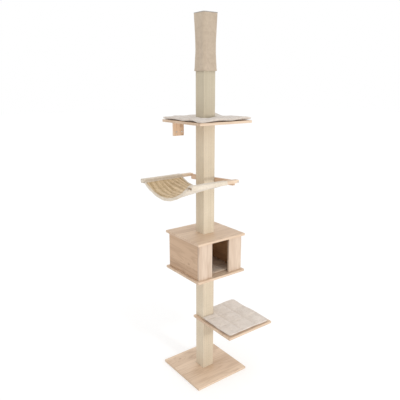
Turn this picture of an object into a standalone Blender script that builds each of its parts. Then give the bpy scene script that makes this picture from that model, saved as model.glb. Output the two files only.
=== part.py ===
"""Floor-to-ceiling cat tree: wooden boards and a house on a sisal post, a hammock and a tensioner.

Metres, +Z up. The origin is where the post's axis meets the floor. +X runs along the front of the
house and -Y is its doorway side. Every piece is its own object; the ceiling tensioner's pieces hang
on an empty that slides up, and the adjusting nut turns on the same axis.
"""

import math

import bmesh
import bpy
from mathutils import Matrix, Vector

# Driving dimensions
GAP = 0.0003                # space left between pieces that touch
POST = 0.090                # outer width of the square post, sisal included
SISAL = 0.004               # thickness of the sisal cover
CORE_WALL = 0.009           # wall of the square tube inside the cover
POST_CORNER = 0.004         # rounding of the post's long edges
CORE_CORNER = 0.003         # rounding of the tube's long edges
CORE_WIDTH = POST - 2 * (SISAL + GAP)
BLOCK_HALF = CORE_WIDTH / 2 - CORE_WALL - GAP
BLOCK = 0.030               # height of the wooden block in each end of a tube
BLOCK_EASE = 0.001
BOARD = 0.016               # thickness of every board
EASE = 0.0018               # rounding of the boards' edges
STUD = 0.010                # diameter of the threaded studs
STUD_REACH = 0.024          # how far a stud goes into an end block

BASE_WIDTH = 0.425
BASE_SKIN = 0.004           # wood left under the blind hole for the base stud
LOWER_SHELF_TOP = 0.411
LOWER_SHELF_X = (-0.067, 0.317)
LOWER_SHELF_Y = (-0.352, 0.045)
HOUSE_FLOOR_TOP = 0.779
HOUSE_ROOF_TOP = 1.038
HOUSE_PLATE = (0.394, 0.378)        # floor and roof boards, X and Y
HOUSE_BOX = (0.360, 0.344)          # outside of the walls, X and Y
DOOR_WIDTH = 0.142
END_BOLT = (0.022, 0.004)           # head of the bolts inside the house, diameter and height
TOP_SHELF_TOP = 1.794
TOP_SHELF_X = (-0.200, 0.212)
TOP_SHELF_Y = (-0.211, 0.200)
UPPER_POST_TOP = 2.220
TREE_HEIGHT = 2.438

CUSHION = 0.020             # thickness of the shelf cushions
CUSHION_INSET = 0.006       # how far a cushion stays inside its board
CUSHION_ROUND = 0.006
CUSHION_CLEAR = 0.004       # space between a cushion and the post or wall beside it
CUSHION_HOLE = 0.044        # diameter of the hole over the bolt in the house floor

HAMMOCK_HEIGHT = 1.409      # middle of the slats, at the post
HAMMOCK_LEAN = math.radians(3.8)    # the frame hangs on one bolt, with its doorway side a little higher
SLAT_APART = 0.245          # from the post's axis to the middle of each slat
SLAT_WIDTH = 0.040
SLAT_THICK = 0.020
SLAT_FREE_END = {"near": -0.287, "far": -0.333}
SLAT_END = 0.0655           # beside the post
SLAT_EASE = 0.003
SLAT_SCREW = (0.009, 0.002, 0.005, 0.066)   # head diameter and height, shank diameter and length
RAIL_THICK = 0.020          # of the cross rail behind the post, whose ends butt against the slats
RAIL_Z = (-0.030, 0.004)    # its underside and top, from the middle of the slats
RAIL_BOLT = (0.016, 0.005, 0.008, 0.054)
BOLT_HOLE_SPARE = 0.002     # how much deeper a screw's hole goes than the screw
RAIL_BLOCK = 0.060          # height of the block inside the post that the rail's bolt enters
FABRIC_X = (-0.341, -0.030)
FABRIC_SKEW = 0.046         # how much sooner it ends on the near slat
FABRIC_THICK = 0.009
FABRIC_TUNNEL = 0.0045      # fabric around a slat
SAG_OUTER = 0.099           # lowest point under the slats' middle, at the free end
SAG_INNER = 0.060           # and at the end beside the post
FABRIC_HOLLOW = 0.022       # how far that end curves in, clear of the post

BRACKET_X = (-0.122, -0.043)
BRACKET_DROP = 0.097
BRACKET_THICK = 0.020
BRACKET_SCREW = (0.010, 0.003, 0.005, 0.0194)
BRACKET_SCREW_INSET = 0.018         # from each end of the bracket
BRACKET_SCREW_DROP = 0.070          # below the shelf board

SLEEVE = 0.104              # outer width of the fabric sleeve
SLEEVE_WALL = 0.004
SLEEVE_CORNER = 0.008
SLEEVE_BOTTOM = 2.095
CEILING_BOARD = 0.092
PAD = 0.004
PAD_EASE = 0.0012
SPINDLE = 0.020
SPINDLE_REACH = 0.150       # how far the spindle goes down into the upper post
NUT_ACROSS = 0.036
NUT_HEIGHT = 0.016
WASHER = (0.044, 0.003)     # diameter and thickness

OAK = (0.68, 0.49, 0.33)
OAK_SHADE = (0.52, 0.36, 0.24)
SISAL_COLOUR = (0.66, 0.55, 0.42)
PLUSH = (0.62, 0.52, 0.40)
GREY_CUSHION = (0.66, 0.60, 0.53)
CREAM = (0.72, 0.62, 0.48)
STEEL = (0.55, 0.55, 0.56)
CARDBOARD = (0.50, 0.38, 0.26)


# Scene, materials and objects

def clear_scene():
    for obj in list(bpy.data.objects):
        bpy.data.objects.remove(obj)


def new_collection(name):
    collection = bpy.data.collections.new(name)
    bpy.context.scene.collection.children.link(collection)
    return collection


def finish(name, colour, roughness, metallic=0.0):
    material = bpy.data.materials.new(name)
    material.use_nodes = True
    shader = material.node_tree.nodes["Principled BSDF"]
    shader.inputs["Base Color"].default_value = (*colour, 1.0)
    shader.inputs["Roughness"].default_value = roughness
    shader.inputs["Metallic"].default_value = metallic
    return material


def add_object(name, data, material, place=(0.0, 0.0, 0.0), parent=None):
    """Links an object to the tree's collection, under a parent whose place is already taken off."""
    obj = bpy.data.objects.new(name, data)
    obj.location = place
    obj.parent = parent
    data.materials.append(material)
    tree.objects.link(obj)
    return obj


def add_empty(name, place, turn=(0.0, 0.0, 0.0)):
    empty = bpy.data.objects.new(name, None)
    empty.location = place
    empty.rotation_euler = turn
    tree.objects.link(empty)
    return empty


def mesh_from(name, bm):
    mesh = bpy.data.meshes.new(name)
    bm.to_mesh(mesh)
    bm.free()
    return mesh


def shade_round(obj, degrees=40.0):
    obj.data.shade_smooth()
    obj.data.set_sharp_from_angle(angle=math.radians(degrees))


# Basic shapes

def middle(span):
    return (span[0] + span[1]) / 2


def width(span):
    return span[1] - span[0]


def board(name, x, y, z, material, ease=EASE, parent=None):
    """A board with eased edges that fills the spans x, y and z of its parent's frame."""
    bm = bmesh.new()
    bmesh.ops.create_cube(bm, size=1.0)
    bmesh.ops.scale(bm, vec=(width(x), width(y), width(z)), verts=bm.verts)
    obj = add_object(name, mesh_from(name, bm), material, (middle(x), middle(y), middle(z)), parent)
    if ease:
        bevel = obj.modifiers.new("eased_edges", "BEVEL")
        bevel.width = ease
        bevel.segments = 2
    return obj


def square_shell(name, outer, wall, z, corner, material, parent=None):
    """A square tube round the Z axis with rounded long edges, open at both ends."""
    bm = bmesh.new()
    bmesh.ops.create_cube(bm, size=1.0)
    bmesh.ops.scale(bm, vec=(outer, outer, width(z)), verts=bm.verts)
    long_edges = [e for e in bm.edges if abs(e.verts[0].co.z - e.verts[1].co.z) > width(z) / 2]
    bmesh.ops.bevel(bm, geom=long_edges, offset=corner, segments=4, profile=0.5, affect="EDGES",
                    material=-1)
    obj = add_object(name, mesh_from(name, bm), material, (0.0, 0.0, middle(z)), parent)
    inner = outer - 2 * wall
    bore = bmesh.new()
    bmesh.ops.create_cube(bore, size=1.0)
    bmesh.ops.scale(bore, vec=(inner, inner, 2 * width(z)), verts=bore.verts)
    cut_with(obj, name + "_bore", mesh_from(name + "_bore", bore), obj.location, parent=parent)
    shade_round(obj)
    return obj


def turned(name, profile, material, place, steps=16, turn=(0.0, 0.0, 0.0), parent=None, closed=False):
    """A profile of (radius, height) points, run down its outer side, turned about the local Z axis."""
    bm = bmesh.new()
    points = [bm.verts.new((radius, 0.0, height)) for radius, height in profile]
    pairs = list(zip(points, points[1:]))
    if closed:
        pairs.append((points[-1], points[0]))
    for first, second in pairs:
        bm.edges.new((first, second))
    obj = add_object(name, mesh_from(name, bm), material, place, parent)
    obj.rotation_euler = turn
    screw = obj.modifiers.new("turn", "SCREW")
    screw.axis = "Z"
    screw.angle = math.tau
    screw.steps = steps
    screw.render_steps = steps
    screw.use_merge_vertices = True
    screw.merge_threshold = 1e-5
    screw.use_smooth_shade = False
    return obj


def rod(name, diameter, z, material, xy=(0.0, 0.0), steps=16, parent=None):
    radius = diameter / 2
    half = width(z) / 2
    profile = ((0.0, half), (radius, half), (radius, -half), (0.0, -half))
    return turned(name, profile, material, (*xy, middle(z)), steps, parent=parent)


def headed_screw(name, sizes, place, turn, material, parent=None):
    """A screw whose head's underside is at its place, with the shank running down local Z.

    Its sizes are the head's diameter and height and the shank's diameter and length.
    """
    head, head_height, shank, length = sizes
    profile = ((0.0, head_height), (head * 0.36, head_height), (head / 2, head_height * 0.45),
               (head / 2, 0.0), (shank / 2, 0.0), (shank / 2, -length * 0.85), (0.0, -length))
    return turned(name, profile, material, place, 12, turn, parent)


def flat_outline(name, outlines, thickness, material, place, soft_edge=0.0, turn=(0.0, 0.0, 0.0)):
    """A flat filled outline in local X and Y, made thick along local Z, with holes where outlines nest."""
    curve = bpy.data.curves.new(name, "CURVE")
    curve.dimensions = "2D"
    curve.fill_mode = "BOTH"
    curve.extrude = thickness / 2 - soft_edge
    curve.bevel_depth = soft_edge
    curve.offset = -soft_edge
    curve.bevel_resolution = 1
    for outline in outlines:
        spline = curve.splines.new("POLY")
        spline.points.add(len(outline) - 1)
        for point, (x, y) in zip(spline.points, outline):
            point.co = (x, y, 0.0, 1.0)
        spline.use_cyclic_u = True
    obj = add_object(name, curve, material, place)
    obj.rotation_euler = turn
    return obj


def to_mesh(obj):
    """The same piece as a mesh object, with its loose caps welded, and the curve removed."""
    bpy.context.view_layer.update()
    graph = bpy.context.evaluated_depsgraph_get()
    mesh = bpy.data.meshes.new_from_object(obj.evaluated_get(graph))
    bm = bmesh.new()
    bm.from_mesh(mesh)
    bmesh.ops.remove_doubles(bm, verts=bm.verts, dist=1e-6)
    bmesh.ops.recalc_face_normals(bm, faces=bm.faces)
    bm.to_mesh(mesh)
    bm.free()
    name, matrix, material = obj.name, obj.matrix_world.copy(), obj.active_material
    bpy.data.objects.remove(obj)
    mesh.materials.clear()
    made = add_object(name, mesh, material)
    made.matrix_world = matrix
    return made


def rectangle(x, y):
    return [(x[0], y[0]), (x[1], y[0]), (x[1], y[1]), (x[0], y[1])]


def cut_with(obj, name, mesh, place, turn=(0.0, 0.0, 0.0), parent=None):
    """Takes the shape of a hidden cutter away from a piece."""
    cutter = bpy.data.objects.new(name, mesh)
    cutter.location = place
    cutter.rotation_euler = turn
    cutter.parent = parent
    cutter.hide_render = True
    cutter.display_type = "WIRE"
    cutters.objects.link(cutter)
    cut = obj.modifiers.new(name, "BOOLEAN")
    cut.operation = "DIFFERENCE"
    cut.solver = "EXACT"
    cut.object = cutter


def drill(obj, name, diameter, length, place, turn=(0.0, 0.0, 0.0)):
    """Cuts a round hole. The cutter is centred on its place, in world axes."""
    bm = bmesh.new()
    bmesh.ops.create_cone(bm, cap_ends=True, segments=20, radius1=diameter / 2, radius2=diameter / 2,
                          depth=length)
    cut_with(obj, name, mesh_from(name, bm), place, turn)


# Post sections

def post_block(name, z):
    """A wooden block that fills the inside of a tube over a span of heights."""
    across = (-BLOCK_HALF, BLOCK_HALF)
    return board(name, across, across, z, wood, ease=BLOCK_EASE)


def end_block(name, z, bore=STUD):
    """The wooden block in the end of a tube, with a hole for the threaded stud."""
    drill(post_block(name, z), name + "_hole", bore + 2 * GAP, 2 * width(z), (0.0, 0.0, middle(z)))


def covered_tube(name, span):
    """A square tube and its sisal cover. It returns both."""
    tube = square_shell(name + "_tube", CORE_WIDTH, CORE_WALL, span, CORE_CORNER, cardboard)
    cover = square_shell(name + "_sisal", POST, SISAL, span, POST_CORNER, sisal)
    return tube, cover


def post_section(name, bottom, top):
    """A covered tube and the block in each of its ends. It returns the tube and the cover."""
    span = (bottom + GAP, top - GAP)
    end_block(name + "_lower_block", (span[0], span[0] + BLOCK))
    end_block(name + "_upper_block", (span[1] - BLOCK, span[1]))
    return covered_tube(name, span)


def threaded_stud(name, bottom, top):
    rod(name, STUD, (bottom, top), steel, steps=16)


# Boards and cushions

def drilled_board(name, x, y, top):
    made = board(name, x, y, (top - BOARD, top), wood)
    drill(made, name + "_hole", STUD + 2 * GAP, 4 * BOARD, (0.0, 0.0, top - BOARD / 2))
    return made


def base():
    """The base board. Its underside stays whole at the origin: the stud sits in a blind hole."""
    half = BASE_WIDTH / 2
    made = board("base_board", (-half, half), (-half, half), (0.0, BOARD), wood)
    depth = BOARD - BASE_SKIN
    drill(made, "base_board_hole", STUD + 2 * GAP, 2 * depth, (0.0, 0.0, BOARD))
    threaded_stud("base_stud", BOARD - depth + GAP, BOARD + STUD_REACH)


def lower_shelf():
    drilled_board("lower_shelf", LOWER_SHELF_X, LOWER_SHELF_Y, LOWER_SHELF_TOP)
    clear = POST / 2 + CUSHION_CLEAR
    x = (LOWER_SHELF_X[0] + CUSHION_INSET, LOWER_SHELF_X[1] - 2 * CUSHION_INSET)
    y = (LOWER_SHELF_Y[0] + CUSHION_INSET, LOWER_SHELF_Y[1] - CUSHION_INSET)
    corners = [(x[0], y[0]), (x[1], y[0]), (x[1], y[1]), (clear, y[1]), (clear, -clear), (x[0], -clear)]
    place = (0.0, 0.0, LOWER_SHELF_TOP + GAP + CUSHION / 2)
    flat_outline("lower_cushion", [corners], CUSHION, grey_fabric, place, CUSHION_ROUND)


def top_shelf():
    drilled_board("top_shelf", TOP_SHELF_X, TOP_SHELF_Y, TOP_SHELF_TOP)
    clear = POST / 2 + CUSHION_CLEAR
    x = (TOP_SHELF_X[0] + CUSHION_INSET, TOP_SHELF_X[1] - CUSHION_INSET)
    y = (TOP_SHELF_Y[0] + CUSHION_INSET, TOP_SHELF_Y[1] - CUSHION_INSET)
    hole = rectangle((-clear, clear), (-clear, clear))
    place = (0.0, 0.0, TOP_SHELF_TOP + GAP + CUSHION / 2)
    flat_outline("top_cushion", [rectangle(x, y), hole], CUSHION, grey_fabric, place, CUSHION_ROUND)


def wall_bracket():
    """The board under the top shelf's rear edge that is screwed to the wall, and its two screws."""
    rear = TOP_SHELF_Y[1]
    under = TOP_SHELF_TOP - BOARD
    y = (rear - BRACKET_THICK, rear)
    bracket = board("wall_bracket", BRACKET_X, y, (under - BRACKET_DROP, under - GAP), wood)
    turn = (math.pi / 2, 0.0, 0.0)
    screws = {"left": BRACKET_X[0] + BRACKET_SCREW_INSET, "right": BRACKET_X[1] - BRACKET_SCREW_INSET}
    for side, x in screws.items():
        name = side + "_wall_screw"
        place = (x, y[0] - GAP, under - BRACKET_SCREW_DROP)
        drill(bracket, name + "_hole", BRACKET_SCREW[2] + 2 * GAP, 4 * BRACKET_THICK, place, turn)
        headed_screw(name, BRACKET_SCREW, place, turn, steel)


# House

def house():
    x = (-HOUSE_PLATE[0] / 2, HOUSE_PLATE[0] / 2)
    y = (-HOUSE_PLATE[1] / 2, HOUSE_PLATE[1] / 2)
    drilled_board("house_floor", x, y, HOUSE_FLOOR_TOP)
    drilled_board("house_roof", x, y, HOUSE_ROOF_TOP)
    wall_z = (HOUSE_FLOOR_TOP + GAP, HOUSE_ROOF_TOP - BOARD - GAP)
    side_x, front_y = HOUSE_BOX[0] / 2, HOUSE_BOX[1] / 2
    side_y = (-front_y + BOARD + GAP, front_y)
    board("house_left_wall", (-side_x, -side_x + BOARD), side_y, wall_z, wood_shade)
    board("house_right_wall", (side_x - BOARD, side_x), side_y, wall_z, wood_shade)
    inner_x = side_x - BOARD - GAP
    board("house_rear_wall", (-inner_x, inner_x), (front_y - BOARD, front_y), wall_z, wood_shade)
    door = DOOR_WIDTH / 2
    front = (-front_y, -front_y + BOARD)
    board("house_front_left_panel", (-side_x, -door), front, wall_z, wood)
    board("house_front_right_panel", (door, side_x), front, wall_z, wood)
    house_cushion(inner_x - CUSHION_CLEAR, front_y - BOARD - CUSHION_CLEAR)
    end_bolt("house_floor_bolt", HOUSE_FLOOR_TOP, -1.0)
    end_bolt("house_roof_bolt", HOUSE_ROOF_TOP - BOARD, 1.0)


def house_cushion(half_x, half_y):
    """The loose cushion on the house floor, with a hole over the bolt head."""
    radius, sides = CUSHION_HOLE / 2, 16
    angles = [math.tau * side / sides for side in range(sides)]
    hole = [(radius * math.cos(angle), radius * math.sin(angle)) for angle in angles]
    edge = rectangle((-half_x, half_x), (-half_y, half_y))
    place = (0.0, 0.0, HOUSE_FLOOR_TOP + GAP + CUSHION / 2)
    flat_outline("house_cushion", [edge, hole], CUSHION, grey_fabric, place, CUSHION_ROUND)


def end_bolt(name, face, way):
    """A bolt whose flat head rests on a board inside the house and whose shank enters the post's block."""
    sizes = (*END_BOLT, STUD, BOARD + STUD_REACH)
    turn = (0.0, 0.0, 0.0) if way < 0 else (math.pi, 0.0, 0.0)
    headed_screw(name, sizes, (0.0, 0.0, face - way * GAP), turn, steel)


# Hammock

def hammock(tube, cover):
    """Two slats joined by a cross rail behind the post, held by one bolt, with the fabric slung between."""
    frame = add_empty("hammock_frame", (0.0, 0.0, HAMMOCK_HEIGHT), (-HAMMOCK_LEAN, 0.0, 0.0))
    slat_z = (-SLAT_THICK / 2, SLAT_THICK / 2)
    rail_x = (POST / 2 + GAP, POST / 2 + GAP + RAIL_THICK)
    rail_reach = SLAT_APART - SLAT_WIDTH / 2 - GAP
    rail = board("hammock_rail", rail_x, (-rail_reach, rail_reach), RAIL_Z, wood, parent=frame)
    for name, side in (("near", -1.0), ("far", 1.0)):
        y = (side * SLAT_APART - SLAT_WIDTH / 2, side * SLAT_APART + SLAT_WIDTH / 2)
        x = (SLAT_FREE_END[name], SLAT_END)
        slat = board("hammock_" + name + "_slat", x, y, slat_z, wood, SLAT_EASE, frame)
        slat_screw("hammock_" + name + "_screw", slat, rail, frame, middle(rail_x), side)
    rail_bolt(tube, cover, frame, rail, rail_x)
    hammock_fabric(frame)


def slat_screw(name, slat, rail, frame, x, side):
    """A screw through a slat's outer face into the end of the rail."""
    turn = (-side * math.pi / 2, 0.0, 0.0)
    place = Vector((x, side * (SLAT_APART + SLAT_WIDTH / 2 + GAP), -SLAT_THICK / 4))
    frame_matrix = Matrix.LocRotScale(frame.location, frame.rotation_euler, None)
    leaned = (turn[0] + frame.rotation_euler.x, 0.0, 0.0)
    length = SLAT_SCREW[3] + BOLT_HOLE_SPARE
    for piece in (slat, rail):
        drill(piece, name + "_" + piece.name + "_hole", SLAT_SCREW[2] + 2 * GAP, 2 * length,
              frame_matrix @ place, leaned)
    headed_screw(name, SLAT_SCREW, place, turn, steel, frame)


def rail_bolt(tube, cover, frame, rail, rail_x):
    """The bolt through the rail, the sisal and the tube, into a block inside the post."""
    turn = (0.0, math.pi / 2, 0.0)
    drop = Vector((0.0, 0.0, middle(RAIL_Z)))
    drop.rotate(frame.rotation_euler)
    centre = frame.location + drop
    block = post_block("hammock_post_block", (centre.z - RAIL_BLOCK / 2, centre.z + RAIL_BLOCK / 2))
    face = rail_x[1] + GAP
    shank, length = RAIL_BOLT[2:]
    for piece in (rail, cover, tube, block):
        drill(piece, "rail_bolt_" + piece.name + "_hole", shank + 2 * GAP, 2 * (length + BOLT_HOLE_SPARE),
              (face, centre.y, centre.z), turn)
    headed_screw("hammock_rail_bolt", RAIL_BOLT, (face + GAP, centre.y, centre.z), turn, steel)


def sag_line(reach, depth, steps=14):
    """Points of a hanging sheet, from -reach to reach, that drops by depth in the middle."""
    line = []
    for step in range(steps + 1):
        y = reach * (2.0 * step / steps - 1.0)
        line.append((y, -depth * (1.0 - (y / reach) ** 2)))
    return line


def hammock_fabric(frame):
    """A hanging sheet whose ends are tunnels round the slats, less deep at the end beside the post."""
    half_width = SLAT_WIDTH / 2 + FABRIC_TUNNEL
    half_height = SLAT_THICK / 2 + FABRIC_TUNNEL
    inner, outer = SLAT_APART - half_width, SLAT_APART + half_width
    top_line = [(y, z - half_height + FABRIC_THICK) for y, z in
                sag_line(inner, SAG_OUTER - half_height)]
    under_line = [(y, z - half_height) for y, z in sag_line(inner, SAG_OUTER - half_height)]
    outline = [(-outer, half_height), (-outer, -half_height)] + under_line
    outline += [(outer, -half_height), (outer, half_height), (inner, half_height)]
    outline += list(reversed(top_line)) + [(-inner, half_height)]
    slots = []
    for side in (-1.0, 1.0):
        y = (side * SLAT_APART - SLAT_WIDTH / 2 - GAP, side * SLAT_APART + SLAT_WIDTH / 2 + GAP)
        slots.append(rectangle(y, (-SLAT_THICK / 2 - GAP, SLAT_THICK / 2 + GAP)))
    curve = flat_outline("hammock_fabric", [outline, *slots], width(FABRIC_X), cream_fabric,
                         (0.0, 0.0, 0.0), turn=(math.pi / 2, 0.0, math.pi / 2))
    fabric = to_mesh(curve)
    for vertex in fabric.data.vertices:
        if vertex.co.z > 0.0 and abs(vertex.co.x) < inner:
            share = 1.0 - (vertex.co.x / inner) ** 2
            vertex.co.y += (SAG_OUTER - SAG_INNER) * share
            vertex.co.z -= FABRIC_HOLLOW * share
        elif vertex.co.z < 0.0:
            vertex.co.z += FABRIC_SKEW * (outer - vertex.co.x) / (2 * outer)
    placed = Matrix.Translation((middle(FABRIC_X), 0.0, 0.0)) @ fabric.matrix_world
    fabric.parent = frame
    fabric.matrix_parent_inverse = Matrix.Identity(4)
    fabric.matrix_basis = placed


# Ceiling tensioner

def ceiling_tensioner():
    """The board, pad, sleeve and spindle that slide up, and the nut that drives them."""
    slide = add_empty("tensioner_slide", (0.0, 0.0, UPPER_POST_TOP))
    top = TREE_HEIGHT - UPPER_POST_TOP
    pad_z = (top - PAD, top)
    board_z = (pad_z[0] - GAP - BOARD, pad_z[0] - GAP)
    half = CEILING_BOARD / 2
    pad_half = SLEEVE / 2
    board("ceiling_pad", (-pad_half, pad_half), (-pad_half, pad_half), pad_z, felt, PAD_EASE, slide)
    ceiling_board = board("ceiling_board", (-half, half), (-half, half), board_z, wood, parent=slide)
    board_middle = UPPER_POST_TOP + middle(board_z)
    drill(ceiling_board, "ceiling_board_hole", SPINDLE + 2 * GAP, 4 * BOARD, (0.0, 0.0, board_middle))
    sleeve_z = (SLEEVE_BOTTOM - UPPER_POST_TOP, pad_z[0] - GAP)
    square_shell("fabric_sleeve", SLEEVE, SLEEVE_WALL, sleeve_z, SLEEVE_CORNER, plush, slide)
    rod("spindle", SPINDLE, (-SPINDLE_REACH, board_z[1] - GAP), steel, parent=slide)
    adjusting_nut()


def adjusting_nut():
    """The hexagonal nut on its washer, on the upper post's end block."""
    nut_bottom = UPPER_POST_TOP + WASHER[1] + GAP
    nut_axis = add_empty("nut_axis", (0.0, 0.0, nut_bottom + NUT_HEIGHT / 2))
    bore = SPINDLE / 2 + GAP
    washer_profile = ((bore, WASHER[1] / 2), (WASHER[0] / 2, WASHER[1] / 2),
                      (WASHER[0] / 2, -WASHER[1] / 2), (bore, -WASHER[1] / 2))
    turned("spindle_washer", washer_profile, steel, (0.0, 0.0, UPPER_POST_TOP + WASHER[1] / 2), 24,
           closed=True)
    bm = bmesh.new()
    bmesh.ops.create_cone(bm, cap_ends=True, segments=6, radius1=NUT_ACROSS / 2, radius2=NUT_ACROSS / 2,
                          depth=NUT_HEIGHT)
    nut = add_object("adjusting_nut", mesh_from("adjusting_nut", bm), steel, parent=nut_axis)
    drill(nut, "adjusting_nut_hole", 2 * bore, 4 * NUT_HEIGHT, nut_axis.location)


def upper_post():
    """The section under the ceiling: its upper block is longer and bored for the spindle."""
    span = (TOP_SHELF_TOP + GAP, UPPER_POST_TOP - GAP)
    covered_tube("upper_post", span)
    end_block("upper_post_lower_block", (span[0], span[0] + BLOCK))
    end_block("upper_post_spindle_block", (span[1] - 2 * BLOCK, span[1]), SPINDLE)


def main():
    base()
    post_section("lower_post", BOARD, LOWER_SHELF_TOP - BOARD)
    lower_shelf()
    threaded_stud("lower_shelf_stud", LOWER_SHELF_TOP - BOARD - STUD_REACH, LOWER_SHELF_TOP + STUD_REACH)
    post_section("middle_post", LOWER_SHELF_TOP, HOUSE_FLOOR_TOP - BOARD)
    house()
    tube, cover = post_section("hammock_post", HOUSE_ROOF_TOP, TOP_SHELF_TOP - BOARD)
    hammock(tube, cover)
    top_shelf()
    threaded_stud("top_shelf_stud", TOP_SHELF_TOP - BOARD - STUD_REACH, TOP_SHELF_TOP + STUD_REACH)
    wall_bracket()
    upper_post()
    ceiling_tensioner()


clear_scene()
tree = new_collection("cat_tree")
cutters = new_collection("cutters")
wood = finish("light_wood", OAK, 0.55)
wood_shade = finish("light_wood_walls", OAK_SHADE, 0.60)
sisal = finish("sisal", SISAL_COLOUR, 0.95)
plush = finish("beige_plush", PLUSH, 0.95)
grey_fabric = finish("quilted_cushion", GREY_CUSHION, 0.92)
cream_fabric = finish("hammock_plush", CREAM, 0.95)
steel = finish("zinc_steel", STEEL, 0.35, 1.0)
cardboard = finish("pressed_board", CARDBOARD, 0.85)
felt = finish("felt", PLUSH, 0.98)
main()
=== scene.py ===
"""The looks of a floor-to-ceiling cat tree: oiled softwood, woven sisal, plush and quilted cushions.

Metres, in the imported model's own frame: +Z up the post, +X along the front of the house, -Y towards its
doorway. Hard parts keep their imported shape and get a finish. Soft parts are made here, in their place.
"""

import logging
import math
from collections.abc import Callable, Sequence
from dataclasses import dataclass
from enum import Enum

import bmesh
import bpy
from mathutils import Matrix, Vector, noise
from mathutils.bvhtree import BVHTree


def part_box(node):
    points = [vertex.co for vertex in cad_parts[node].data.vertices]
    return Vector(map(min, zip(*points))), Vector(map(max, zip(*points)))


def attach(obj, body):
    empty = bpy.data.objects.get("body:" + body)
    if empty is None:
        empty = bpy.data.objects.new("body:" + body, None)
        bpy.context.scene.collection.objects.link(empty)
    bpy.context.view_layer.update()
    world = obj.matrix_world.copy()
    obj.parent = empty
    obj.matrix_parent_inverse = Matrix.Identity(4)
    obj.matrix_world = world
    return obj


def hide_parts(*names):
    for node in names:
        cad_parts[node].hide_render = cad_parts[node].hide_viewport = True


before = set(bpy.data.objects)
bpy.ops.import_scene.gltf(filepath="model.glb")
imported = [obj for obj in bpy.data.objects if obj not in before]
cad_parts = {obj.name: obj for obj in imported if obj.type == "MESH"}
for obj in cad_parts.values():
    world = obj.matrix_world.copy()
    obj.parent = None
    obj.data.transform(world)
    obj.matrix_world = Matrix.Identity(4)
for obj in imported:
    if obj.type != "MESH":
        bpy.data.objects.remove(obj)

LOG = logging.getLogger("cat_tree")
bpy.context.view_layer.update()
GAP = 0.0003        # space between pieces that touch

Colour = tuple[float, float, float]
Point = tuple[float, float]


# Shader expressions

class Wire:
    """A node's output. Arithmetic on it adds Math nodes to its graph."""

    def __init__(self, graph: "Graph", socket: bpy.types.NodeSocket) -> None:
        """Holds the socket and the graph that it belongs to."""
        self.graph = graph
        self.socket = socket

    def __add__(self, other: "Wire | float") -> "Wire":
        """Returns self + other."""
        return self.graph.math("ADD", self, other)

    def __radd__(self, other: float) -> "Wire":
        """Returns other + self."""
        return self.graph.math("ADD", other, self)

    def __sub__(self, other: "Wire | float") -> "Wire":
        """Returns self - other."""
        return self.graph.math("SUBTRACT", self, other)

    def __rsub__(self, other: float) -> "Wire":
        """Returns other - self."""
        return self.graph.math("SUBTRACT", other, self)

    def __mul__(self, other: "Wire | float") -> "Wire":
        """Returns self * other."""
        return self.graph.math("MULTIPLY", self, other)

    def __rmul__(self, other: float) -> "Wire":
        """Returns other * self."""
        return self.graph.math("MULTIPLY", other, self)

    def __truediv__(self, other: "Wire | float") -> "Wire":
        """Returns self / other."""
        return self.graph.math("DIVIDE", self, other)

    def __pow__(self, other: float) -> "Wire":
        """Returns self raised to other."""
        return self.graph.math("POWER", self, other)

    def apply(self, operation: str, *others: "Wire | float") -> "Wire":
        """Returns a named Math operation with this value first."""
        return self.graph.math(operation, self, *others)


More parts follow.
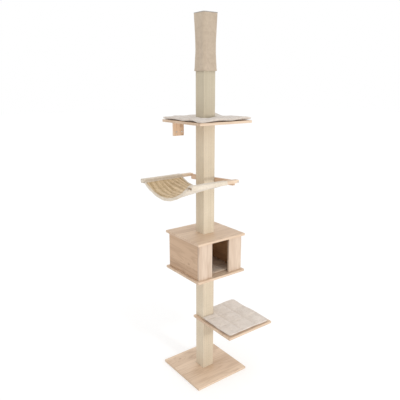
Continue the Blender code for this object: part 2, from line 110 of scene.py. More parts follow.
class Graph:
    """A material's node graph."""

    def __init__(self, name: str) -> None:
        """Starts an empty graph in a new material of this name."""
        self.material = bpy.data.materials.new(name)
        self.material.use_nodes = True
        self.nodes = self.material.node_tree.nodes
        self.links = self.material.node_tree.links
        self.nodes.clear()

    def node(self, kind: str, settings: dict | None = None, inputs: dict | None = None,
             output: int | str = 0) -> Wire:
        """Adds a node.

        Args:
            kind: The node's type name, without its ShaderNode prefix.
            settings: Attributes to set first.
            inputs: Values or wires for its sockets, by name or by number.
            output: The output to return, by name or by number.

        Returns:
            The chosen output.
        """
        made = self.nodes.new("ShaderNode" + kind)
        for key, value in (settings or {}).items():
            setattr(made, key, value)
        for key, value in (inputs or {}).items():
            socket = made.inputs[key]
            if isinstance(value, Wire):
                self.links.new(value.socket, socket)
            elif hasattr(socket.default_value, "__len__") and len(socket.default_value) == 4:
                socket.default_value = (*value, 1.0)
            else:
                socket.default_value = value
        return Wire(self, made.outputs[output])

    def math(self, operation: str, *values: "Wire | float") -> Wire:
        """Returns a Math node over these values."""
        return self.node("Math", {"operation": operation}, dict(enumerate(values)))

    def blend(self, share: "Wire | float", low: "Wire | Colour", high: "Wire | Colour") -> Wire:
        """Returns the colour low, mixed towards high by share."""
        settings = {"data_type": "RGBA", "clamp_factor": True}
        return self.node("Mix", settings, {0: share, 6: low, 7: high}, 2)

    def place(self) -> Wire:
        """Returns the piece's own coordinates, in metres."""
        return self.node("TexCoord", output="Object")

    def parts(self, vector: Wire) -> tuple[Wire, Wire, Wire]:
        """Returns a vector's X, Y and Z."""
        split = self.node("SeparateXYZ", inputs={0: vector})
        outputs = split.socket.node.outputs
        return tuple(Wire(self, outputs[index]) for index in range(3))

    def vector(self, x: "Wire | float", y: "Wire | float", z: "Wire | float") -> Wire:
        """Returns a vector of three values."""
        return self.node("CombineXYZ", inputs={0: x, 1: y, 2: z})

    def mottle(self, vector: Wire, scale: float, detail: float = 2.0, distortion: float = 0.0) -> Wire:
        """Returns cloudy noise from 0 to 1."""
        values = {"Vector": vector, "Scale": scale, "Detail": detail, "Distortion": distortion}
        return self.node("TexNoise", inputs=values)

    def step(self, value: Wire, low: float, high: float) -> Wire:
        """Returns 0 below low, 1 above high, and a smooth rise between."""
        settings = {"interpolation_type": "SMOOTHSTEP"}
        return self.node("MapRange", settings, {0: value, 1: low, 2: high, 3: 0.0, 4: 1.0})

    def finish(self, colour: Wire, roughness: "Wire | float", height: Wire | None = None,
               relief: float = 0.0, **fixed: float) -> bpy.types.Material:
        """Closes the graph with a Principled shader.

        Args:
            colour: The base colour.
            roughness: The roughness.
            height: The surface's relief, from 0 to 1.
            relief: How high the relief stands, in metres.
            fixed: Values for other sockets, by their names with _ for a space.

        Returns:
            The finished material.
        """
        inputs: dict = {"Base Color": colour, "Roughness": roughness}
        for key, value in fixed.items():
            inputs[key.replace("_", " ")] = value
        if height is not None:
            bump = {"Strength": 1.0, "Distance": relief, "Height": height}
            inputs["Normal"] = self.node("Bump", inputs=bump)
        shader = self.node("BsdfPrincipled", inputs=inputs)
        self.node_output(shader)
        return self.material

    def node_output(self, shader: Wire) -> None:
        """Links a shader to the material's surface."""
        end = self.nodes.new("ShaderNodeOutputMaterial")
        self.links.new(shader.socket, end.inputs["Surface"])


# Finishes

class Grain(Enum):
    """The direction that a board's fibres run, with the order of its along, across and depth axes."""

    LENGTHWISE = (0, 1, 2)
    CROSSWISE = (1, 2, 0)
    UPRIGHT = (2, 0, 1)
    UPRIGHT_SIDE = (2, 1, 0)


@dataclass(frozen=True)
class Knot:
    """A branch knot: its place along and across the grain, and its radius."""

    along: float
    across: float
    radius: float


@dataclass(frozen=True)
class WoodFinish:
    """Clear-oiled softwood, glued up from staves."""

    name: str
    grain: Grain
    light: Colour = (0.73, 0.565, 0.42)
    dark: Colour = (0.47, 0.315, 0.20)
    stave: float = 0.052
    knots: tuple[Knot, ...] = ()

    def material(self) -> bpy.types.Material:
        """Returns the finish as a material."""
        graph = Graph(self.name)
        axes = graph.parts(graph.place())
        along, across, depth = (axes[index] for index in self.grain.value)
        stave = ((across + depth * 0.02) / self.stave + 0.37).apply("FLOOR")
        chance = graph.node("TexWhiteNoise", {"noise_dimensions": "1D"}, {"W": stave + 3.7})
        slid = along * 1.5 + chance * 9.0
        field = graph.mottle(graph.vector(slid, across * 17.0, depth * 17.0), 1.0, 1.5, 0.25)
        marks: Wire | float = 0.0
        hearts: Wire | float = 0.0
        for knot in self.knots:
            reach = ((along - knot.along) * 0.62) ** 2.0 + (across - knot.across) ** 2.0
            near = reach.apply("SQRT") / knot.radius
            marks = (near * near * -0.16).apply("EXPONENT") * 0.5 + marks
            hearts = (1.0 - graph.step(near, 0.62, 1.15)) + hearts
        rings = ((field + marks) * 62.0).apply("SINE") * 0.5 + 0.5
        late = rings ** 2.4
        fibre = graph.mottle(graph.vector(along * 9.0, across * 420.0, depth * 420.0), 1.0, 2.0)
        cloud = graph.mottle(graph.vector(along * 2.0, across * 9.0, depth * 9.0), 1.0, 2.0)
        shade = late * 0.34 + (fibre - 0.5) * 0.55 + (cloud - 0.5) * 0.60 + (chance - 0.5) * 0.42 + 0.16
        colour = graph.blend(shade, self.light, self.dark)
        facing = graph.parts(graph.node("TexCoord", output="Normal"))[self.grain.value[0]]
        end_grain = graph.step(facing.apply("ABSOLUTE"), 0.6, 0.9)
        colour = graph.blend(end_grain * 0.35, colour, self.dark)
        if self.knots:
            colour = graph.blend(hearts * 0.42, colour, (0.24, 0.12, 0.06))
        roughness = fibre * 0.16 + late * -0.06 + 0.44
        height = late * 0.35 + fibre * 0.65
        return graph.finish(colour, roughness, height, 0.00022, Coat_Weight=0.08, Coat_Roughness=0.35)


@dataclass(frozen=True)
class SisalFinish:
    """A plain-woven sisal mat that wraps an upright square post."""

    name: str = "woven sisal"
    pale: Colour = (0.76, 0.655, 0.505)
    deep: Colour = (0.42, 0.335, 0.215)
    pitch: float = 0.0034

    def material(self) -> bpy.types.Material:
        """Returns the finish as a material."""
        graph = Graph(self.name)
        place = graph.place()
        x, y, z = graph.parts(place)
        wobble = (graph.mottle(place, 38.0, 1.0) - 0.5) * 0.0022
        girth = (x + y + wobble) / self.pitch
        rise = (z + wobble) / (self.pitch * 0.8)
        over = (girth.apply("FLOOR") + rise.apply("FLOOR")).apply("FLOORED_MODULO", 2.0)
        warp = (girth * math.pi).apply("SINE").apply("ABSOLUTE")
        weft = (rise * math.pi).apply("SINE").apply("ABSOLUTE")
        thread = over * (weft ** 0.6) * (warp * 0.35 + 0.65)
        thread = thread + (1.0 - over) * (warp ** 0.6) * (weft * 0.35 + 0.65)
        row = graph.mottle(graph.vector(0.0, 0.0, rise.apply("FLOOR") * 0.91), 1.0, 1.0)
        column = graph.mottle(graph.vector(girth.apply("FLOOR") * 0.77, 0.0, 0.0), 1.0, 1.0)
        streak = graph.mottle(graph.vector((x + y) * 130.0, 0.0, z * 0.6), 1.0, 2.0)
        hair = graph.mottle(graph.vector(x * 900.0, y * 900.0, z * 260.0), 1.0, 2.0)
        patch = graph.mottle(place, 5.0, 2.0)
        light = thread * 0.62 + row * 0.34 + column * 0.30 + (hair - 0.5) * 0.5 + (patch - 0.5) * 0.5
        light = light + (streak - 0.5) * 0.55 + 0.02
        colour = graph.blend(light, self.deep, self.pale)
        height = thread * 0.8 + hair * 0.2
        return graph.finish(colour, 0.92, height, 0.0007, Sheen_Weight=0.12, Sheen_Roughness=0.6)


@dataclass(frozen=True)
class PlushFinish:
    """Short pile: a furry relief over a soft change of tone."""

    name: str
    pale: Colour
    deep: Colour
    pile: float = 620.0
    relief: float = 0.0011
    shaded_folds: bool = False

    def material(self) -> bpy.types.Material:
        """Returns the finish as a material."""
        graph = Graph(self.name)
        place = graph.place()
        tuft = graph.mottle(place, self.pile, 3.0, 0.6)
        lie = graph.mottle(place, 46.0, 3.0, 0.8)
        cloud = graph.mottle(place, 9.0, 2.0)
        light = (tuft - 0.5) * 1.15 + (lie - 0.5) * 0.95 + (cloud - 0.5) * 0.55 + 0.55
        # Painted shade in the valleys of the folds and painted light on their crests, from the crest
        # attribute.
        if self.shaded_folds:
            crest = graph.node("Attribute", {"attribute_name": "crest"}, output="Fac")
            light = light + (crest - 0.45) * 0.85
        colour = graph.blend(light, self.deep, self.pale)
        height = tuft * 0.7 + lie * 0.3
        return graph.finish(colour, 0.95, height, self.relief, Sheen_Weight=0.35, Sheen_Roughness=0.45)


@dataclass(frozen=True)
class SteelFinish:
    """Zinc-plated steel with fine turning marks."""

    name: str = "zinc-plated steel"
    tone: Colour = (0.62, 0.62, 0.64)

    def material(self) -> bpy.types.Material:
        """Returns the finish as a material."""
        graph = Graph(self.name)
        place = graph.place()
        bloom = graph.mottle(place, 240.0, 3.0)
        colour = graph.blend(bloom * 0.5, self.tone, (0.42, 0.42, 0.41))
        return graph.finish(colour, bloom * 0.25 + 0.22, bloom, 0.0001, Metallic=1.0)


@dataclass(frozen=True)
class FibreboardFinish:
    """Pressed brown fibre, wound in layers."""

    name: str = "pressed fibre"

    def material(self) -> bpy.types.Material:
        """Returns the finish as a material."""
        graph = Graph(self.name)
        x, y, z = graph.parts(graph.place())
        speck = graph.mottle(graph.vector(x * 300.0, y * 300.0, z * 120.0), 1.0, 3.0)
        colour = graph.blend(speck, (0.30, 0.20, 0.11), (0.46, 0.33, 0.20))
        return graph.finish(colour, 0.88, speck, 0.0002)


# Meshes and objects

def finish_mesh(bm: bmesh.types.BMesh, name: str, outward: bool = True) -> bpy.types.Object:
    """Makes an object of a bmesh, at the origin, with its place in its mesh.

    Args:
        bm: The mesh, which is freed.
        name: The new object's name.
        outward: Whether to turn the faces outwards.

    Returns:
        The object, linked to the scene.
    """
    if outward:
        bmesh.ops.recalc_face_normals(bm, faces=bm.faces)
    mesh = bpy.data.meshes.new(name)
    bm.to_mesh(mesh)
    bm.free()
    mesh.shade_smooth()
    obj = bpy.data.objects.new(name, mesh)
    bpy.context.scene.collection.objects.link(obj)
    return obj


def wear(obj: bpy.types.Object, material: bpy.types.Material) -> None:
    """Gives an object this one material."""
    obj.data.materials.clear()
    obj.data.materials.append(material)


def settle(obj: bpy.types.Object, material: bpy.types.Material, body: str = "tree") -> None:
    """Dresses a new piece and puts it on its body."""
    wear(obj, material)
    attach(obj, body)
    LOG.info("%s: %d faces, on %s", obj.name, len(obj.data.polygons), body)


def subdivide(obj: bpy.types.Object) -> None:
    """Adds one level of Subdivision Surface, the same in views and renders."""
    surface = obj.modifiers.new("smooth", "SUBSURF")
    surface.levels = 1
    surface.render_levels = 1


def thicken(obj: bpy.types.Object, thickness: float) -> None:
    """Adds a wall to an open sheet, half of it on each side."""
    wall = obj.modifiers.new("thickness", "SOLIDIFY")
    wall.thickness = thickness
    wall.offset = 0.0
    wall.use_even_offset = True


def baked(obj: bpy.types.Object) -> bpy.types.Mesh:
    """Returns a copy of the object's mesh as its modifiers leave it."""
    bpy.context.view_layer.update()
    graph = bpy.context.evaluated_depsgraph_get()
    return bpy.data.meshes.new_from_object(obj.evaluated_get(graph))


def sweep(name: str, path: Sequence[Vector], section: Sequence[Point], up: Vector,
          closed: bool = False, swell: Callable[[float], float] | None = None) -> bpy.types.Object:
    """Draws a closed section along a path.

    Args:
        name: The new object's name.
        path: The points that the middle of the section follows.
        section: The section's points, sideways and upwards.
        up: The direction that the section's upward axis keeps near to.
        closed: Whether the path's end meets its start.
        swell: The section's size at a share of the path, or None for 1.

    Returns:
        The swept object.
    """
    bm = bmesh.new()
    rings: list[list[bmesh.types.BMEdge]] = []
    count = len(path)
    for index, centre in enumerate(path):
        before = path[index - 1] if index or closed else path[0]
        after = path[(index + 1) % count] if index < count - 1 or closed else path[-1]
        ahead = (after - before).normalized()
        side = ahead.cross(up).normalized()
        lift = side.cross(ahead).normalized()
        size = swell(index / (count - 1)) if swell else 1.0
        ring = bmesh.ops.create_circle(bm, segments=len(section), radius=1.0)["verts"]
        for vert, (across, rise) in zip(ring, section):
            vert.co = centre + side * across * size + lift * rise * size
        rings.append(list({edge for vert in ring for edge in vert.link_edges}))
    pairs = list(zip(rings, rings[1:]))
    if closed:
        pairs.append((rings[-1], rings[0]))
    for first, second in pairs:
        bmesh.ops.bridge_loops(bm, edges=first + second)
    if not closed:
        for ring in (rings[0], rings[-1]):
            bmesh.ops.contextual_create(bm, geom=ring)
    return finish_mesh(bm, name)


def oval(width: float, height: float, sides: int) -> list[Point]:
    """Returns the points of an oval section."""
    angles = [math.tau * side / sides for side in range(sides)]
    return [(width / 2 * math.cos(angle), height / 2 * math.sin(angle)) for angle in angles]


def rounded(corners: Sequence[Point], radius: float, steps: int = 5) -> list[Point]:
    """Returns an outline of right-angled corners, run anticlockwise, with each corner an arc."""
    outline: list[Point] = []
    count = len(corners)
    for index, corner in enumerate(corners):
        here = Vector(corner)
        before = (Vector(corners[index - 1]) - here).normalized()
        after = (Vector(corners[(index + 1) % count]) - here).normalized()
        centre = here + (before + after) * radius
        for step in range(steps + 1):
            angle = math.pi / 2 * step / steps
            point = centre - after * radius * math.cos(angle) - before * radius * math.sin(angle)
            outline.append((point.x, point.y))
    return outline


def spaced(points: Sequence[Vector], gap: float, closed: bool = True) -> list[Vector]:
    """Returns points at even spacing along a line of points."""
    line = list(points) + ([points[0]] if closed else [])
    lengths = [(b - a).length for a, b in zip(line, line[1:])]
    total = sum(lengths)
    count = max(2, round(total / gap))
    made: list[Vector] = []
    index, walked = 0, 0.0
    for step in range(count if closed else count + 1):
        target = total * step / count
        while index < len(lengths) - 1 and walked + lengths[index] < target:
            walked += lengths[index]
            index += 1
        share = (target - walked) / max(lengths[index], 1e-9)
        made.append(line[index].lerp(line[index + 1], min(share, 1.0)))
    return made


def spaced_count(points: Sequence[Vector], steps: int) -> list[Vector]:
    """Returns steps + 1 points at even spacing along an open line of points."""
    total = sum((b - a).length for a, b in zip(points, points[1:]))
    return spaced(points, total / steps, closed=False)


def mapped_grid(name: str, columns: int, rows: int, place: Callable[[float, float], Vector],
                weld: bool = False) -> bpy.types.Object:
    """Bends a flat grid to a shape.

    Args:
        name: The new object's name.
        columns: Faces along the grid's first side.
        rows: Faces along its second side.
        place: Where the point at these shares of the two sides goes.
        weld: Whether the first side's ends meet.

    Returns:
        The bent sheet, without thickness.
    """
    bm = bmesh.new()
    bmesh.ops.create_grid(bm, x_segments=columns, y_segments=rows, size=0.5)
    for vert in bm.verts:
        vert.co = place(vert.co.x + 0.5, vert.co.y + 0.5)
    if weld:
        bmesh.ops.remove_doubles(bm, verts=bm.verts, dist=1e-6)
    return finish_mesh(bm, name)


# Hard parts

@dataclass
class Timber:
    """Every board, wall, slat and block."""

    base_knot: Knot = Knot(-0.117, 0.151, 0.0075)
    wall_knot: Knot = Knot(-0.059, 0.863, 0.0085)
    bracket_knot: Knot = Knot(1.747, -0.068, 0.0085)

    def finishes(self) -> dict[WoodFinish, tuple[str, ...]]:
        """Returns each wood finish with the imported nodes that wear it."""
        level = WoodFinish("oiled board", Grain.LENGTHWISE)
        return {
            level: ("lower_shelf", "house_floor", "house_roof", "top_shelf", "ceiling_board"),
            WoodFinish("oiled base board", Grain.LENGTHWISE, knots=(self.base_knot,)): ("base_board",),
            WoodFinish("oiled side wall", Grain.CROSSWISE, (0.555, 0.375, 0.24), (0.33, 0.19, 0.10), 0.043,
                       (self.wall_knot,)): ("house_left_wall",),
            # The right and rear walls are the same wood, browned and dimmed as painted shade and bounce light
            # for the house's inside.
            WoodFinish("oiled right wall in painted shade", Grain.CROSSWISE, (0.55, 0.34, 0.18), (0.33, 0.18, 0.08), 0.043):
                ("house_right_wall",),
            WoodFinish("oiled rear wall in painted shade", Grain.LENGTHWISE, (0.55, 0.30, 0.12), (0.34, 0.165, 0.06), 0.043):
                ("house_rear_wall",),
            WoodFinish("oiled front panel", Grain.UPRIGHT, (0.65, 0.51, 0.395), (0.42, 0.29, 0.195), 0.036):
                ("house_front_left_panel", "house_front_right_panel"),
            WoodFinish("oiled bracket", Grain.UPRIGHT, (0.84, 0.63, 0.45), (0.56, 0.36, 0.22), 0.08,
                       (self.bracket_knot,)): ("wall_bracket",),
            WoodFinish("sanded slat", Grain.LENGTHWISE, (0.80, 0.65, 0.50), (0.60, 0.43, 0.29), 0.2):
                ("hammock_near_slat", "hammock_far_slat"),
            WoodFinish("sanded rail", Grain.CROSSWISE, (0.70, 0.49, 0.34), (0.48, 0.30, 0.18), 0.2):
                ("hammock_rail",),
            WoodFinish("sawn block", Grain.UPRIGHT_SIDE, (0.60, 0.43, 0.28), (0.42, 0.27, 0.15), 0.2):
                tuple(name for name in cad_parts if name.endswith("_block")),
        }

    def dress(self) -> None:
        """Gives each wooden node its finish."""
        for wood, nodes in self.finishes().items():
            material = wood.material()
            for name in nodes:
                wear(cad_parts[name], material)
            LOG.info("%s: %s", wood.name, ", ".join(nodes))


@dataclass
class Post:
    """The post's covers, tubes and steel, and the staples down the covers' rear seam."""

    staple_gap: float = 0.042
    staple_wide: float = 0.0100
    staple_wire: float = 0.0012
    seam_inset: float = 0.012
    end_margin: float = 0.016

    def dress(self, sisal: bpy.types.Material, shaded_sisal: bpy.types.Material, steel: bpy.types.Material) -> None:
        """Gives the covers, tubes and steel nodes their finishes; the upper cover wears the same sisal dimmed
        as painted shade.
        """
        tube = FibreboardFinish().material()
        steel_ends = ("_stud", "_bolt", "_screw", "_washer", "_nut", "spindle")
        for name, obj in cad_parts.items():
            if name.endswith("_sisal"):
                wear(obj, shaded_sisal if name.startswith("upper_") else sisal)
            elif name.endswith("_tube"):
                wear(obj, tube)
            elif name.endswith(steel_ends):
                wear(obj, steel)

    def staples(self, steel: bpy.types.Material) -> None:
        """Drives a column of staples into each cover, beside its rear corner."""
        for cover in sorted(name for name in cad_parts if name.endswith("_sisal")):
            low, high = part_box(cover)
            bm = bmesh.new()
            count = int((high.z - low.z - 2 * self.end_margin) / self.staple_gap)
            for index in range(count + 1):
                share = index / count
                height = low.z + self.end_margin + share * (high.z - low.z - 2 * self.end_margin)
                place = Matrix.Translation((high.x - self.seam_inset, high.y, height))
                size = Matrix.Diagonal((self.staple_wide, self.staple_wire, self.staple_wire, 1.0))
                bmesh.ops.create_cube(bm, size=1.0, matrix=place @ size)
            bmesh.ops.bevel(bm, geom=bm.edges[:], offset=self.staple_wire * 0.3, segments=1, profile=0.5,
                            affect="EDGES", material=-1)
            settle(finish_mesh(bm, cover + "_staples"), steel)


@dataclass
class SocketScrew:
    """A screw with a domed head and a hexagonal socket, in place of a packed screw."""

    node: str
    out: Vector
    radius: float
    height: float
    shank: float
    length: float

    SIDES = 24

    def build(self, steel: bpy.types.Material) -> None:
        """Makes the screw with its head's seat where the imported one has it."""
        bm = bmesh.new()
        bmesh.ops.create_circle(bm, cap_ends=True, segments=self.SIDES, radius=self.radius)
        bm.faces.ensure_lookup_table()
        top = bm.faces[0]
        top = self.raised(bm, top, self.height * 0.55)
        for reach, rise in ((0.12, 0.30), (0.22, 0.15)):
            bmesh.ops.inset_region(bm, faces=[top], thickness=self.radius * reach, use_even_offset=True)
            bmesh.ops.translate(bm, vec=(0.0, 0.0, self.height * rise), verts=top.verts[:])
        bmesh.ops.inset_region(bm, faces=[top], thickness=self.radius * 0.18, use_even_offset=True)
        self.square_up(top)
        self.raised(bm, top, -self.height * 0.6)
        shank = bmesh.ops.create_cone(bm, cap_ends=True, segments=12, radius1=self.shank / 2,
                                      radius2=self.shank / 2, depth=self.length)["verts"]
        bmesh.ops.translate(bm, vec=(0.0, 0.0, -self.length / 2 - GAP), verts=shank)
        low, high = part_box(self.node)
        seat = (low + high) / 2 + self.out * (self.length - self.height) / 2
        turn = self.out.to_track_quat("Z", "X").to_matrix().to_4x4()
        bmesh.ops.transform(bm, matrix=Matrix.Translation(seat) @ turn, verts=bm.verts)
        screw = finish_mesh(bm, self.node + "_socket")
        screw.data.set_sharp_from_angle(angle=math.radians(30.0))
        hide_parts(self.node)
        settle(screw, steel)

    def raised(self, bm: bmesh.types.BMesh, face: bmesh.types.BMFace, rise: float) -> bmesh.types.BMFace:
        """Draws a face up or down and returns it, with walls behind it."""
        grown = bmesh.ops.extrude_face_region(bm, geom=[face], use_keep_orig=rise > 0.0)["geom"]
        moved = next(item for item in grown if isinstance(item, bmesh.types.BMFace))
        bmesh.ops.translate(bm, vec=(0.0, 0.0, rise), verts=moved.verts[:])
        return moved

    def square_up(self, top: bmesh.types.BMFace) -> None:
        """Pulls a round face's corners in to six flat sides."""
        for vert in top.verts:
            angle = math.atan2(vert.co.y, vert.co.x) % (math.pi / 3)
            flat = math.cos(math.pi / 6) / math.cos(angle - math.pi / 6)
            vert.co.x *= flat
            vert.co.y *= flat


# Cushions

@dataclass
class Cushion:
    """A quilted pad: puffed cells between stitched channels, with a corded edge."""

    name: str
    corners: Sequence[Point]
    floor: float
    lines_x: Sequence[float]
    lines_y: Sequence[float]
    hole: Sequence[Point] = ()
    ripple: float = 0.002
    lift: float = 0.003
    thin: float = 0.0110
    puff: float = 0.0090
    corner: float = 0.014
    seam_height: float = 0.0062
    cord: float = 0.0030
    reach: float = 0.045
    phase: float = 0.0
    bolt_radius: float = 0.0

    VOXEL = 0.0048          # size of the slab's even faces
    STITCH = 0.0052         # from one stitch to the next
    CHANNEL = 0.0048        # how far a stitched channel reaches to each side
    CHANNEL_DEPTH = 0.60    # share of its height that the pad loses there
    SEAM_HOLD = 0.004       # the edge seam holds the cloth this near to it
    BOARD_HOLD = 0.0015     # and the board this near to it
    BOLT_HIGH = 0.0046      # how far a bolt's head lifts the pad
    BOLT_SPREAD = 0.018     # and how far round it
    QUICK_ROUND = 0.014
    FRAMES = 20             # of simulation

    def edge_distance(self, x: float, y: float) -> float:
        """Returns how far a point is inside the nearest outer edge or hole."""
        best = 1.0
        for outline in (self.corners, self.hole):
            for index in range(len(outline)):
                a, b = Vector(outline[index - 1]), Vector(outline[index])
                along = b - a
                share = max(0.0, min(1.0, (Vector((x, y)) - a).dot(along) / along.length_squared))
                best = min(best, (Vector((x, y)) - a - along * share).length)
        return best

    def raised(self, x: float, y: float) -> float:
        """Returns how far the pad stands off its board here: nothing inside, and waves at the edge."""
        edge = max(0.0, 1.0 - self.edge_distance(x, y) / self.reach)
        wave = noise.noise(Vector((x * 9.0 + self.phase, y * 9.0, self.phase)))
        height = (self.lift + self.ripple * 2.2 * wave) * edge * edge + self.ripple * 0.25 * (wave + 0.5)
        if self.bolt_radius:
            near = max(0.0, math.hypot(x, y) - self.bolt_radius) / self.BOLT_SPREAD
            height += self.BOLT_HIGH * math.exp(-near * near)
        return height

    def channel(self, x: float, y: float) -> float:
        """Returns how far a point is from the nearest stitched channel."""
        nearest = [abs(x - line) for line in self.lines_x] + [abs(y - line) for line in self.lines_y]
        return min(nearest, default=1.0)

    def slab(self) -> bpy.types.Object:
        """Returns the flat pad before it is filled, remeshed into even small faces."""
        bm = bmesh.new()
        bm.faces.new([bm.verts.new((x, y, self.floor)) for x, y in rounded(self.corners, self.corner)])
        if self.hole:
            hx, hy = [x for x, _ in self.hole], [y for _, y in self.hole]
            for value, axis in ((min(hx), 0), (max(hx), 0), (min(hy), 1), (max(hy), 1)):
                place, normal = [0.0, 0.0, 0.0], [0.0, 0.0, 0.0]
                place[axis], normal[axis] = value, 1.0
                bmesh.ops.bisect_plane(bm, geom=bm.faces[:] + bm.edges[:] + bm.verts[:], dist=1e-6,
                                       plane_co=place, plane_no=normal)
            inside = [f for f in bm.faces if min(hx) < f.calc_center_median().x < max(hx)
                      and min(hy) < f.calc_center_median().y < max(hy)]
            bmesh.ops.delete(bm, geom=inside, context="FACES")
        grown = bmesh.ops.extrude_face_region(bm, geom=bm.faces[:])["geom"]
        top = [item for item in grown if isinstance(item, bmesh.types.BMVert)]
        bmesh.ops.translate(bm, vec=(0.0, 0.0, self.thin), verts=top)
        obj = finish_mesh(bm, self.name)
        remesh = obj.modifiers.new("even", "REMESH")
        remesh.mode = "VOXEL"
        remesh.voxel_size = self.VOXEL
        mesh = baked(obj)
        obj.modifiers.clear()
        obj.data = mesh
        return obj

    def held(self, point: Vector) -> bool:
        """Returns whether stitches, the board or the edge seam hold the cloth here."""
        return (self.channel(point.x, point.y) < self.CHANNEL / 2
                or point.z < self.floor + self.BOARD_HOLD
                or self.edge_distance(point.x, point.y) < self.SEAM_HOLD)

    def fill(self, obj: bpy.types.Object) -> None:
        start = [vert.co.copy() for vert in obj.data.vertices]
        group = obj.vertex_groups.new(name="stitched")
        group.add([vert.index for vert in obj.data.vertices if self.held(vert.co)], 1.0, "REPLACE")
        cloth = obj.modifiers.new("filling", "CLOTH")
        settings = cloth.settings
        settings.quality = 4
        settings.mass = 0.01
        settings.tension_stiffness = settings.compression_stiffness = 1.0
        settings.shear_stiffness = 0.5
        settings.bending_stiffness = 0.01
        settings.use_pressure = True
        settings.uniform_pressure_force = 9.0
        settings.effector_weights.gravity = 0.0
        settings.vertex_group_mass = group.name
        cloth.point_cache.frame_start = 1
        cloth.point_cache.frame_end = self.FRAMES
        for number in range(1, self.FRAMES + 1):
            bpy.context.scene.frame_set(number)
        mesh = baked(obj)
        moved = [vert.co.copy() for vert in mesh.vertices]
        obj.modifiers.clear()
        obj.vertex_groups.clear()
        bpy.data.meshes.remove(mesh)
        bpy.context.scene.frame_set(1)
        for vert, old, new in zip(obj.data.vertices, start, moved):
            travel = new - old
            if travel.length > self.puff:
                travel *= self.puff / travel.length
            vert.co = old + travel

    def shape(self, obj: bpy.types.Object) -> None:
        """Presses in the channels, evens the cloth and lets the edges lift."""
        bm = bmesh.new()
        bm.from_mesh(obj.data)
        for _ in range(2):
            bmesh.ops.smooth_vert(bm, verts=bm.verts, factor=0.4, use_axis_x=True, use_axis_y=True,
                                  use_axis_z=True)
        for vert in bm.verts:
            x, y = vert.co.x, vert.co.y
            deep = math.exp(-(self.channel(x, y) / self.CHANNEL) ** 2)
            over = vert.co.z - self.floor - self.seam_height
            vert.co.z -= deep * self.CHANNEL_DEPTH * max(over, 0.0)
            crease = noise.noise(Vector((x * 42.0, y * 42.0, self.phase))) * 0.0011
            crease += noise.noise(Vector((x * 16.0, y * 24.0, self.phase + 5.0))) * 0.0016
            vert.co.z += crease * max(0.0, min(1.0, over / 0.006))
            vert.co.z = max(vert.co.z, self.floor) + max(self.raised(x, y), 0.0)
        bm.to_mesh(obj.data)
        bm.free()
        obj.data.shade_smooth()

    def seam_path(self, outline: Sequence[Point], radius: float) -> list[Vector]:
        """Returns the line that the edge cord follows."""
        smooth = rounded(outline, radius)
        flat = spaced([Vector((x, y, 0.0)) for x, y in smooth], 0.008)
        rise = self.floor + self.seam_height
        return [Vector((p.x, p.y, rise + max(self.raised(p.x, p.y), 0.0))) for p in flat]

    def edging(self, material: bpy.types.Material) -> bpy.types.Object:
        """Returns the cord sewn round the pad's outer edge."""
        path = self.seam_path(self.corners, self.corner)
        section = oval(self.cord, self.cord, 8)
        cord = sweep(self.name + "_edging", path, section, Vector((0.0, 0.0, 1.0)), closed=True)
        settle(cord, material)
        return cord

    def stitching(self, pad: bpy.types.Object, material: bpy.types.Material) -> bpy.types.Object:
        """Returns the rows of thread along the channels, laid on the pad's top."""
        tree = BVHTree.FromObject(pad, bpy.context.evaluated_depsgraph_get())
        bm = bmesh.new()
        xs = [x for x, _ in self.corners]
        ys = [y for _, y in self.corners]
        rows = [(Vector((line, min(ys), 0.0)), Vector((line, max(ys), 0.0))) for line in self.lines_x]
        rows += [(Vector((min(xs), line, 0.0)), Vector((max(xs), line, 0.0))) for line in self.lines_y]
        for begin, end in rows:
            ahead = (end - begin).normalized()
            for step in range(1, int((end - begin).length / self.STITCH)):
                spot = begin + ahead * self.STITCH * step
                hit = tree.ray_cast(Vector((spot.x, spot.y, self.floor + 0.1)), Vector((0.0, 0.0, -1.0)))[0]
                if hit is None or hit.z < self.floor + 0.004 or self.edge_distance(spot.x, spot.y) < 0.006:
                    continue
                turn = ahead.to_track_quat("X", "Z").to_matrix().to_4x4()
                size = Matrix.Diagonal((self.STITCH * 0.66, 0.0009, 0.0007, 1.0))
                bmesh.ops.create_cube(bm, size=1.0, matrix=Matrix.Translation(hit) @ turn @ size)
        thread = finish_mesh(bm, self.name + "_stitching")
        settle(thread, material)
        return thread

    def build(self, quilt: bpy.types.Material, thread: bpy.types.Material) -> None:
        """Makes the pad, its edging and its stitches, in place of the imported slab."""
        pad = self.slab()
        self.fill(pad)
        self.shape(pad)
        subdivide(pad)
        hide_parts(self.name)
        pad.name = self.name + "_quilt"
        settle(pad, quilt)
        self.edging(quilt)
        self.stitching(pad, thread)


# Hammock

